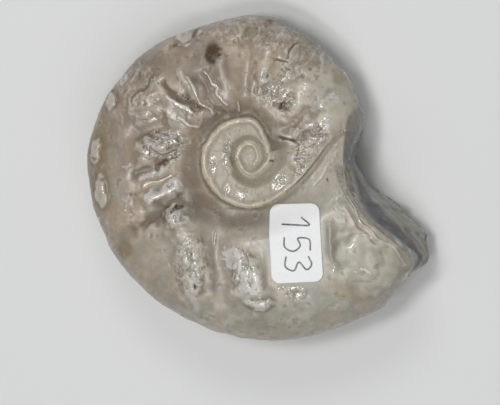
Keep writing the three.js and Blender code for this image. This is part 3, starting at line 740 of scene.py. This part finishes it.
# Whitish places on the ribs' crests, partly worn shell and partly painted highlight: path, width, share.
WORN_AND_HIGHLIGHT_STROKES = [
    ([(-22.6, -8.6), (-16.2, -5.2)], 2.8, 1.25), ([(-24, -4.4), (-18.4, -1.6)], 1.2, 0.9),
    ([(-18.6, 14.6), (-15.4, 12.9), (-12.1, 11.1)], 0.6, 1.2),
    ([(-13.2, 18.5), (-11.2, 14.6), (-8.1, 11.1)], 0.6, 1.2),
    ([(-9, 18.6), (-6.5, 15.6), (-4.2, 13.2)], 0.6, 1.1),
    ([(-15.1, 10.1), (-11.8, 8.1)], 0.9, 1.3), ([(-1.7, 13.4), (-1.8, 11.6)], 0.5, 1.2),
    ([(-22.4, 3.2), (-17.6, 5.4)], 4, 0.5),
    ([(-17.2, -12.8), (-13.2, -20), (-12, -29.6)], 5, 0.55),
    ([(-2.2, -22.4), (1.4, -28)], 5.2, 1.2), ([(0.6, -32.8), (5.2, -32.2)], 2, 0.9),
    ([(8.6, -29.6), (13.2, -31)], 1.6, 0.5), ([(13.4, 5.8), (18.2, 8.6)], 3.8, 0.58),
    ([(10, -1), (13.4, 1.2)], 3.2, 0.4), ([(3.6, 14.4), (4.6, 20)], 3.6, 0.4),
    ([(14.2, 15.4), (17.6, 17.4)], 4.2, 0.45), ([(7.4, 13), (9.6, 15.6)], 1.6, 0.6),
    ([(5.8, 26.6), (8.4, 28)], 2, 0.5), ([(14, 12.2), (20, 14)], 3.6, 0.7),
    ([(-22.6, -2.6), (-17.2, -0.9)], 1, 0.7), ([(-29.2, -9.9), (-28.2, -12.1)], 0.5, 1.1),
    ([(-29.3, -1.6), (-28, -1.3)], 1.2, 0.65), ([(-24.6, 9.6), (-21.4, 9)], 0.5, 1),
    ([(-26.4, 14.6), (-26.2, 12.4)], 0.5, 1),
    ([(27.1, -16.8), (30, -18.1), (33, -19.7), (35.1, -21.8), (35.9, -23.9)], 0.5, 1),
    ([(28.4, -21.8), (28.8, -23.5)], 0.5, 1), ([(24.6, -24.8), (28.4, -25.4)], 0.5, 1),
    ([(21.2, -21.4), (20.4, -23.5), (20, -24.8)], 0.5, 0.9),
]
# Thin brown lines inside the edge of the break: distance from it, half width.
BREAK_LINES = [(0.35, 0.2), (0.95, 0.22), (1.7, 0.25)]
# Small dark pits: centre, radius.
DARK_DOTS = [
    ((18.7, -4.3), 0.34), ((3.9, -9.3), 0.36), ((5.2, -0.4), 0.35), ((8, 12.6), 0.45),
    ((-16.1, -10.5), 0.5), ((-11.9, -28.8), 0.5), ((-19.4, -1.3), 0.4), ((-15.6, 15.4), 0.26),
    ((-14.9, 14.9), 0.3), ((-14.2, 14.4), 0.24), ((-13.6, 14), 0.3), ((-13.3, 13.2), 0.22),
    ((-12.4, 13.3), 0.24), ((-11.8, 12.5), 0.3), ((-11.3, 12.1), 0.22), ((22.7, -24.6), 0.26),
]


def brown_share(x, y, angle, radius, turn, uneven):
    """Brown stain and painted shade: stain patches and strokes, the wall outside the seam (its brown dirt
    with painted shade of the hollow wall), cracks, a painted shadow line beside the seam thread, and thin
    lines along the break.
    """
    # The wall outside the seam: partly its brown dirt, partly painted shade of the hollow wall.
    wall = np.where(turn < OUTERMOST_END, smooth((turn - 20) / 40), 0)
    wall = wall * (1 - smooth((radius - seam(turn)) / 6)) * mix(0.4, 0.75, smooth((turn - 190) / 60))
    stains = [wall, patch_share(BROWN_PATCHES, x, y), strongest(BROWN_STROKES, *warped(x, y))]
    # The tongue's crack, and a painted shadow line in the groove along the outer side of the seam thread.
    crack_and_thread_shadow = [0.85 * tongue_crack(angle, radius), thread_groove(angle, uneven)]
    a = signed(angle)
    inside_edge, beside = near_edge(a) - radius, 0.8 * window(a, -30, 4, -6, 6)
    lines = [beside * bell(inside_edge - off, wide) for off, wide in BREAK_LINES]
    return np.max(stains + crack_and_thread_shadow + lines, axis=0)


def break_shares(angle, radius, z):
    """The dark broken face; its far lip, made paler as painted light where it faces up; its hollow channel,
    darkened as painted shade; and painted shade in an olive grey on the rim's venter strip, where it turns
    away.
    """
    a = signed(angle)
    edge = near_edge(a) + 4.2 * smooth((a - 18) / 12)
    past_edge = smooth((radius - edge) / mix(0.9, 2, smooth((a - 2) / 10)) + 0.1)
    face = past_edge * window(a, -38, 4, 30, 10) * smooth((z + 9) / 4)
    across = np.clip((radius - edge) / np.maximum(outline(angle) - edge, 0.5), 0, 1)
    # Painted shade in an olive grey on the venter strip, where it turns away.
    rim_strip = smooth(radius - outline(angle) + 1.4) * window(a, 52, 12, 76, 12)
    return {
        "face": face * (1 - 0.45 * smooth((a - 4) / 16)),
        # painted light: the far lip made paler where it faces up
        "lip": face * smooth((across - 0.4) / 0.2) * (1 - smooth((a + 8) / 10)),
        # painted shade: the hollow channel darkened
        "channel": face * bell(across - 0.17, 0.17),
        "venter_shade": rim_strip * smooth((6 - z) / 4),
    }


def dots_share(x, y):
    place = np.stack([x, y, 0 * x], axis=-1)
    off_x, off_y = (0.4 * noise(place, 0.7, SEED + 60 + k) for k in range(2))
    return patch_share([(at, (size, size), 1) for at, size in DARK_DOTS], x + off_x, y + off_y)


def set_stone_shares(mesh):
    x, y, z = coil_place(mesh)
    angle, radius = np.degrees(np.arctan2(y, x)), np.hypot(x, y)
    place = np.stack([x, y, z], axis=-1)
    wavy = warped(x, y)
    uneven = radius + thread_wander(place)
    turn, ridge = visible_turn(angle, uneven)
    on_top = {
        "brown_and_shade": brown_share(x, y, angle, radius, turn, uneven),
        "worn_and_highlight": strongest(WORN_AND_HIGHLIGHT_STROKES, *wavy) * (0.85 + 0.35 * rough_facets(place)[1]),
        "ochre": patch_share(OCHRE_PATCHES, x, y),
        "pale": patch_share(PALE_AND_SHEEN_PATCHES, x, y),
        "lobe": patch_share(LOBE_PATCH, *wavy),
        "thread": np.clip(ridge / SEAM_RIDGE_HEIGHT, 0, 1),
        "disc": 1 - smooth((radius - seam(turn % 360)) / 1.5),
        "dots": dots_share(x, y),
    }
    shares = {name: share * smooth((z + 2) / 4) for name, share in on_top.items()}
    shares["warm"] = np.maximum(smooth(0.5 + (y - x) / 60), patch_share(WARM_PATCHES, x, y))
    for name, share in (shares | break_shares(angle, radius, z)).items():
        set_share(mesh, name, share)


class Shader:
    """A material's node tree, built from the surface backwards."""

    def __init__(self, name):
        self.material = bpy.data.materials.new(name)
        self.material.use_nodes = True
        self.tree = self.material.node_tree
        self.surface = self.tree.nodes["Principled BSDF"]
        self.place = self.node("ShaderNodeTexCoord").outputs["Object"]

    def node(self, kind, inputs=(), **settings):
        """A new node with its settings, and with numbers or other nodes' outputs for its inputs."""
        node = self.tree.nodes.new(kind)
        for key, value in settings.items():
            setattr(node, key, value)
        for key, value in dict(inputs).items():
            if isinstance(value, (int, float, tuple)):
                node.inputs[key].default_value = value
            else:
                self.tree.links.new(value, node.inputs[key])
        return node

    def set(self, name, value):
        self.tree.links.new(value, self.surface.inputs[name])

    def share(self, name):
        """A share that the mesh holds at its vertices."""
        return self.node("ShaderNodeAttribute", attribute_name=name).outputs["Fac"]

    def noise(self, size_mm, detail=4, roughness=0.55, distortion=0):
        inputs = {"Scale": 1 / (size_mm * MM), "Detail": detail, "Roughness": roughness}
        inputs |= {"Distortion": distortion, "Vector": self.place}
        return self.node("ShaderNodeTexNoise", inputs).outputs["Fac"]

    def spread(self, value, low, high, to_low=0, to_high=1):
        """The value with the stretch from low to high laid on another, and held beyond its ends."""
        inputs = {"Value": value, "From Min": low, "From Max": high, "To Min": to_low, "To Max": to_high}
        return self.node("ShaderNodeMapRange", inputs).outputs["Result"]

    def math(self, operation, *values):
        return self.node("ShaderNodeMath", enumerate(values), operation=operation).outputs[0]

    def times(self, a, b):
        return self.math("MULTIPLY", a, b)

    def most(self, *values):
        result = values[0]
        for value in values[1:]:
            result = self.math("MAXIMUM", result, value)
        return result

    def blend(self, a, b, share, mode="MIX"):
        inputs = {"Factor": share, 6: a, 7: b}
        return self.node("ShaderNodeMix", inputs, data_type="RGBA", blend_type=mode).outputs[2]

    def tint(self, colour, rgb, share, amount):
        """The colour with a tint over it, where the share is."""
        return self.blend(colour, srgb(*rgb), self.times(share, amount))

    def streaks(self, size_mm, stretch, direction):
        """Noise drawn out along a direction in plan."""
        size = size_mm * MM
        inputs = {"Vector": self.place, "Rotation": (0, 0, math.radians(direction))}
        inputs |= {"Scale": (stretch * size, size, size)}
        place = self.node("ShaderNodeMapping", inputs, vector_type="TEXTURE").outputs["Vector"]
        return self.node("ShaderNodeTexNoise", {"Vector": place, "Scale": 1, "Detail": 4}).outputs["Fac"]

    def bump(self, height, depth_mm, strength, under=None):
        """A normal raised by this height, over the normal of what is under it."""
        inputs = {"Height": height, "Distance": depth_mm * MM, "Strength": strength}
        if under is not None:
            inputs["Normal"] = under
        return self.node("ShaderNodeBump", inputs).outputs["Normal"]


def srgb(*channels):
    """A colour given as sRGB bytes."""
    linear = [c / 255 / 12.92 if c < 11 else ((c / 255 + 0.055) / 1.055) ** 2.4 for c in channels]
    return (*linear, 1.0)


def stone_material():
    s = Shader("stone")
    rough, crest, disc, lobe, face = map(s.share, ("rough", "crest", "disc", "lobe", "face"))
    speckle = s.spread(s.noise(1.3, 6, 0.7), 0.3, 0.7)
    brown_and_shade = s.times(s.share("brown_and_shade"), s.spread(speckle, 0, 1, 0.75, 1))
    broken = s.math("ADD", s.share("worn_and_highlight"), s.spread(s.noise(1.5, 6, 0.7, 1.4), 0.3, 0.7, -0.5, 0.5))
    worn_and_highlight = s.spread(broken, 0.42, 0.5)
    painted_edge_glint = s.times(s.spread(broken, 0.4, 0.45), s.spread(broken, 0.56, 0.49))
    crinkle_ridges = s.math("ABSOLUTE", s.math("SUBTRACT", s.noise(2.6, 3, 0.5, 1), 0.5))
    crinkle_ridges = s.times(s.spread(crinkle_ridges, 0.03, 0.008), s.spread(rough, 0.3, 0.8))

    # The colour, from the whole stone to its small places.
    warm = s.math("ADD", s.share("warm"), s.spread(s.noise(15, 3), 0.35, 0.65, -0.35, 0.35))
    colour = s.blend(srgb(157, 153, 139), srgb(149, 133, 114), s.spread(warm, 0, 1))
    hollow_shade = s.times(s.spread(rough, 0.1, 0.5, 0.55, 1), s.spread(disc, 0, 1, 1, 0.4))
    thread = s.spread(s.share("thread"), 0.3, 0.75)
    for rgb, share, amount in (
        ((183, 163, 140), s.spread(s.noise(6, 5, 0.6, 0.6), 0.4, 0.68), 0.55),
        ((142, 141, 133), s.spread(s.noise(9, 4, 0.55, 1.2), 0.45, 0.7), 0.55),
        # pale places: partly paler stone, partly painted sheen on rib crests and the right shoulder
        ((204, 195, 176), s.share("pale"), 0.65),
        ((176, 173, 155), lobe, 0.45),
        ((158, 150, 132), disc, 0.8),
        # whitish places on the rib crests: partly worn shell, partly painted highlight
        ((214, 211, 204), worn_and_highlight, 0.68),
        # brown stains, with painted shade on the wall outside the seam and a painted shadow line beside the
        # seam thread
        ((84, 68, 55), brown_and_shade, 0.9),
        ((152, 136, 88), s.share("ochre"), 0.6),
        # painted shade: the hollows of the relief darkened
        ((92, 76, 61), s.spread(crest, 0, -1, 0, 0.62), hollow_shade),
        # painted highlight: the crests of the relief lightened
        ((216, 210, 197), s.spread(crest, 0, 1), 0.48),
        # painted highlight along the thin crinkle ridges
        ((214, 209, 198), crinkle_ridges, 0.5),
        # painted highlight: a white line round the edges of the whitish places
        ((228, 225, 218), painted_edge_glint, 0.55),
        ((183, 170, 146), thread, s.spread(s.noise(1.6, 6, 0.7), 0.36, 0.62, 0.2, 0.95)),
        # painted shade in an olive grey where the venter turns away
        ((96, 88, 70), s.share("venter_shade"), 0.7),
    ):
        colour = s.tint(colour, rgb, share, amount)
    streaks = s.spread(s.streaks(1.1, 7, -45), 0.38, 0.66)
    colour = s.blend(colour, s.blend(srgb(74, 76, 78), srgb(104, 103, 100), streaks), face)
    lip = s.blend(srgb(132, 130, 120), srgb(174, 169, 156), streaks)
    # Painted light: the far lip is made paler where it faces up.
    colour = s.blend(colour, lip, s.times(s.share("lip"), 0.85))
    # Painted shade: the hollow channel of the break is darkened.
    colour = s.tint(colour, (40, 41, 43), s.share("channel"), 0.85)
    colour = s.tint(colour, (62, 46, 37), s.share("dots"), 0.9)
    contrast = s.spread(rough, 0, 1, 0.17, 0.3)
    mottle = s.math("MULTIPLY_ADD", s.math("SUBTRACT", speckle, 0.5), contrast, 1)
    s.set("Base Color", s.blend(colour, mottle, 1, "MULTIPLY"))

    # Fine grain, and raised edges of the worn places and the thin crinkle ridges.
    normal = s.bump(s.noise(0.5, 5, 0.6), 0.05, s.spread(rough, 0, 1, 0.15, 0.35))
    normal = s.bump(s.noise(1.6, 4, 0.5, 0.8), 0.2, s.spread(rough, 0, 1, 0.15, 0.55), normal)
    normal = s.bump(worn_and_highlight, 0.1, 0.9, normal)
    normal = s.bump(crinkle_ridges, 0.15, 0.8, normal)
    s.set("Normal", normal)

    # A wet-looking varnish, glossier on the crests and flakes, and dull in the brown hollows.
    s.set("Roughness", s.most(s.spread(speckle, 0, 1, 0.42, 0.58), brown_and_shade))
    s.set("Specular IOR Level", s.spread(brown_and_shade, 0, 1, 0.5, 0.1))
    matt = s.most(s.times(face, 0.25), s.times(brown_and_shade, 0.9), s.times(lobe, 0.65))
    glossy = s.most(s.spread(rough, 0.15, 0.6, 0.5), worn_and_highlight, crinkle_ridges, s.spread(crest, 0.3, 0.9, 0.5))
    calm = s.most(s.spread(disc, 0, 1, 1, 0.4), s.spread(rough, 0.2, 0.45))
    s.set("Coat Weight", s.times(s.times(glossy, calm), s.math("SUBTRACT", 1, matt)))
    s.set("Coat Roughness", s.spread(glossy, 0.5, 1, 0.3, 0.09))
    s.set("Coat Normal", normal)
    s.surface.inputs["Coat IOR"].default_value = 1.6
    return s.material


def paper_material():
    s = Shader("paper")
    ink = s.spread(s.share("ink_distance"), 0.14, 0.26, 1, 0)
    strength = s.spread(s.noise(1.2, 3), 0.3, 0.7, 0.75, 1)
    colour = s.blend(srgb(226, 226, 224), srgb(238, 238, 236), s.noise(0.6, 4))
    s.set("Base Color", s.tint(colour, (70, 66, 88), ink, strength))
    s.surface.inputs["Roughness"].default_value = 0.55
    s.set("Normal", s.bump(s.noise(0.3, 4), 0.01, 0.5))
    return s.material


# The pen strokes of a plain number, each digit in a box one unit high.
DIGITS = [
    [[(0.05, 0.72), (0.32, 1), (0.3, 0.5), (0.26, 0)]],
    [[(0.5, 0.98), (0.12, 0.96), (0.06, 0.56), (0.34, 0.62), (0.52, 0.36), (0.36, 0.06), (0.02, 0.06)]],
    [[(0.02, 0.9), (0.3, 1), (0.48, 0.8), (0.2, 0.54), (0.5, 0.34), (0.34, 0.04), (0, 0.08)]],
]
DIGIT_HEIGHT, DIGIT_STEP = 6.4, 4.6
NO_INK = 9  # distance from the pen strokes where there are none
LABEL_POINTS = 65, 97
LABEL_THICKNESS, LABEL_GAP = 0.1, 0.14
LABEL_CURL, LABEL_WAVE = 0.22, 0.03


def smoothed_path(points, steps=8):
    """A curve through the points, as short straight stretches."""
    p = [np.array(q, float) for q in points]
    p = [2 * p[0] - p[1]] + p + [2 * p[-1] - p[-2]]
    path = []
    for a, b, c, d in zip(p, p[1:], p[2:], p[3:]):
        for k in range(steps):
            t = k / steps
            square, cube = 2 * a - 5 * b + 4 * c - d, 3 * b - a - 3 * c + d
            path.append(tuple(0.5 * (2 * b + (c - a) * t + square * t**2 + cube * t**3)))
    return path + [tuple(p[-2])]


def ink_distance(x, y):
    """Distance from the pen strokes on the label, which is read from its right-hand side."""
    nearest = np.full_like(x, NO_INK)
    for number, strokes in enumerate(DIGITS):
        for points in strokes:
            placed = [
                (DIGIT_HEIGHT * (v - 0.5) + 0.3, -DIGIT_STEP * (number - 1) - DIGIT_HEIGHT * (u - 0.25))
                for u, v in points
            ]
            nearest = np.minimum(nearest, path_distance(smoothed_path(placed), x, y))
    return nearest


def label_mesh():
    across, along = LABEL_POINTS
    t = np.linspace(-1, 1, across)[None, :]
    y = np.linspace(-1, 1, along)[:, None] * LABEL_HEIGHT / 2
    into_corner = np.maximum(0, np.abs(y) - (LABEL_HEIGHT / 2 - LABEL_CORNER))
    half = LABEL_WIDTH / 2 - LABEL_CORNER + np.sqrt(np.maximum(LABEL_CORNER**2 - into_corner**2, 0.01))
    x, y = t * half, y + 0 * t
    curl = LABEL_CURL * (np.hypot(x / (LABEL_WIDTH / 2), y / (LABEL_HEIGHT / 2)) / 1.3) ** 4
    lift = LABEL_GAP + curl + LABEL_WAVE * np.sin(x * 0.6 + y * 0.3)
    turn = math.radians(LABEL_TURN)
    px = LABEL_X + x * math.cos(turn) - y * math.sin(turn)
    py = LABEL_Y + x * math.sin(turn) + y * math.cos(turn)
    flank = flank_height(np.degrees(np.arctan2(py, px)), np.hypot(px, py))
    top = to_frame(px, py, flank + lift + LABEL_THICKNESS)
    low = to_frame(px, py, flank + lift)
    count = across * along
    number = np.arange(count).reshape(along, across)
    corners = [number[:-1, :-1], number[:-1, 1:], number[1:, 1:], number[1:, :-1]]
    quads = np.stack(corners, -1).reshape(-1, 4)
    faces = quads.tolist() + (quads[:, ::-1] + count).tolist()
    border = [*number[0, :], *number[1:, -1], *number[-1, -2::-1], *number[-2:0:-1, 0]]
    for a, b in zip(border, border[1:] + border[:1]):
        faces.append((int(b), int(a), int(a) + count, int(b) + count))
    vertices = np.vstack([top.reshape(-1, 3), low.reshape(-1, 3)]) * MM
    mesh = bpy.data.meshes.new("number_label_paper")
    mesh.from_pydata(vertices.tolist(), [], faces)
    distance = ink_distance(x, y).ravel()
    set_share(mesh, "ink_distance", np.concatenate([distance, np.full(count, NO_INK)]))
    mesh.shade_smooth()
    return mesh


stone = new_object("stone", stone_mesh())
decimate = stone.modifiers.new("thin", "DECIMATE")
decimate.ratio = KEPT_FACES
apply_modifiers(stone)
stone.data.shade_smooth()
set_stone_shares(stone.data)
stone.data.materials.append(stone_material())
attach(stone, "root")
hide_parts("ammonite")

label = new_object("label", label_mesh())
label.data.materials.append(paper_material())
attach(label, "root")
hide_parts("number_label")

# The pale floor.
FLOOR_HALF = 0.6
FLOOR_Z = -0.00003  # a hair under the stone's flat spots
floor_mesh = bpy.data.meshes.new("floor")
floor_corners = [(FLOOR_HALF * i, FLOOR_HALF * j, FLOOR_Z) for i, j in ((-1, -1), (1, -1), (1, 1), (-1, 1))]
floor_mesh.from_pydata(floor_corners, [], [(0, 1, 2, 3)])
floor = new_object("floor", floor_mesh)
floor_shader = Shader("floor")
floor_shader.surface.inputs["Base Color"].default_value = (0.72, 0.72, 0.71, 1)
floor_shader.surface.inputs["Roughness"].default_value = 0.7
floor.data.materials.append(floor_shader.material)

# The camera looks down nearly along the coil axis, from a little to the right and above.
VIEW_RIGHT, VIEW_UP = 0.1427, 0.1005  # how far the line of sight leans for each unit of height
DISTANCE = 1200
PICTURE_WIDTH, PIXELS_PER_MM = 500, 4.302
SENSOR_WIDTH = 36
TARGET = Vector((-1.45, -5.85, 12.75)) * MM
sight = Vector((VIEW_RIGHT, VIEW_UP, 1)).normalized()
right = Vector((1, -0.0087, -0.142))
right = (right - right.dot(sight) * sight).normalized()
up = sight.cross(right)
camera_data = bpy.data.cameras.new("camera")
camera_data.sensor_width = SENSOR_WIDTH
camera_data.lens = SENSOR_WIDTH * DISTANCE / (PICTURE_WIDTH / PIXELS_PER_MM)
camera_data.clip_start = 0.05
camera = new_object("camera", camera_data)
camera.matrix_world = Matrix((right, up, sight)).transposed().to_4x4()
camera.location = TARGET + sight * DISTANCE * MM
bpy.context.scene.camera = camera

LIGHTS_AIM = Vector((0, 0, 10)) * MM


def area_light(name, place, size, power):
    """A soft light, its place and size in millimetres, turned to the stone."""
    data = bpy.data.lights.new(name, "AREA")
    data.shape = "RECTANGLE"
    data.size, data.size_y = size[0] * MM, size[1] * MM
    data.energy = power
    light = new_object(name, data)
    light.location = Vector(place) * MM
    light.rotation_euler = (light.location - LIGHTS_AIM).to_track_quat("Z", "Y").to_euler()


area_light("key", (-120, 90, 720), (170, 110), 1.7)
area_light("overhead", (-60, -150, 700), (220, 80), 1)
area_light("top", (-20, 430, 520), (260, 200), 0.75)
area_light("fill", (160, -380, 560), (420, 420), 0.7)
world = bpy.data.worlds.new("world")
world.use_nodes = True
background = world.node_tree.nodes["Background"]
background.inputs["Color"].default_value = (0.9, 0.94, 1, 1)
background.inputs["Strength"].default_value = 0.22
bpy.context.scene.world = world
bpy.context.scene.view_settings.view_transform = "Standard"
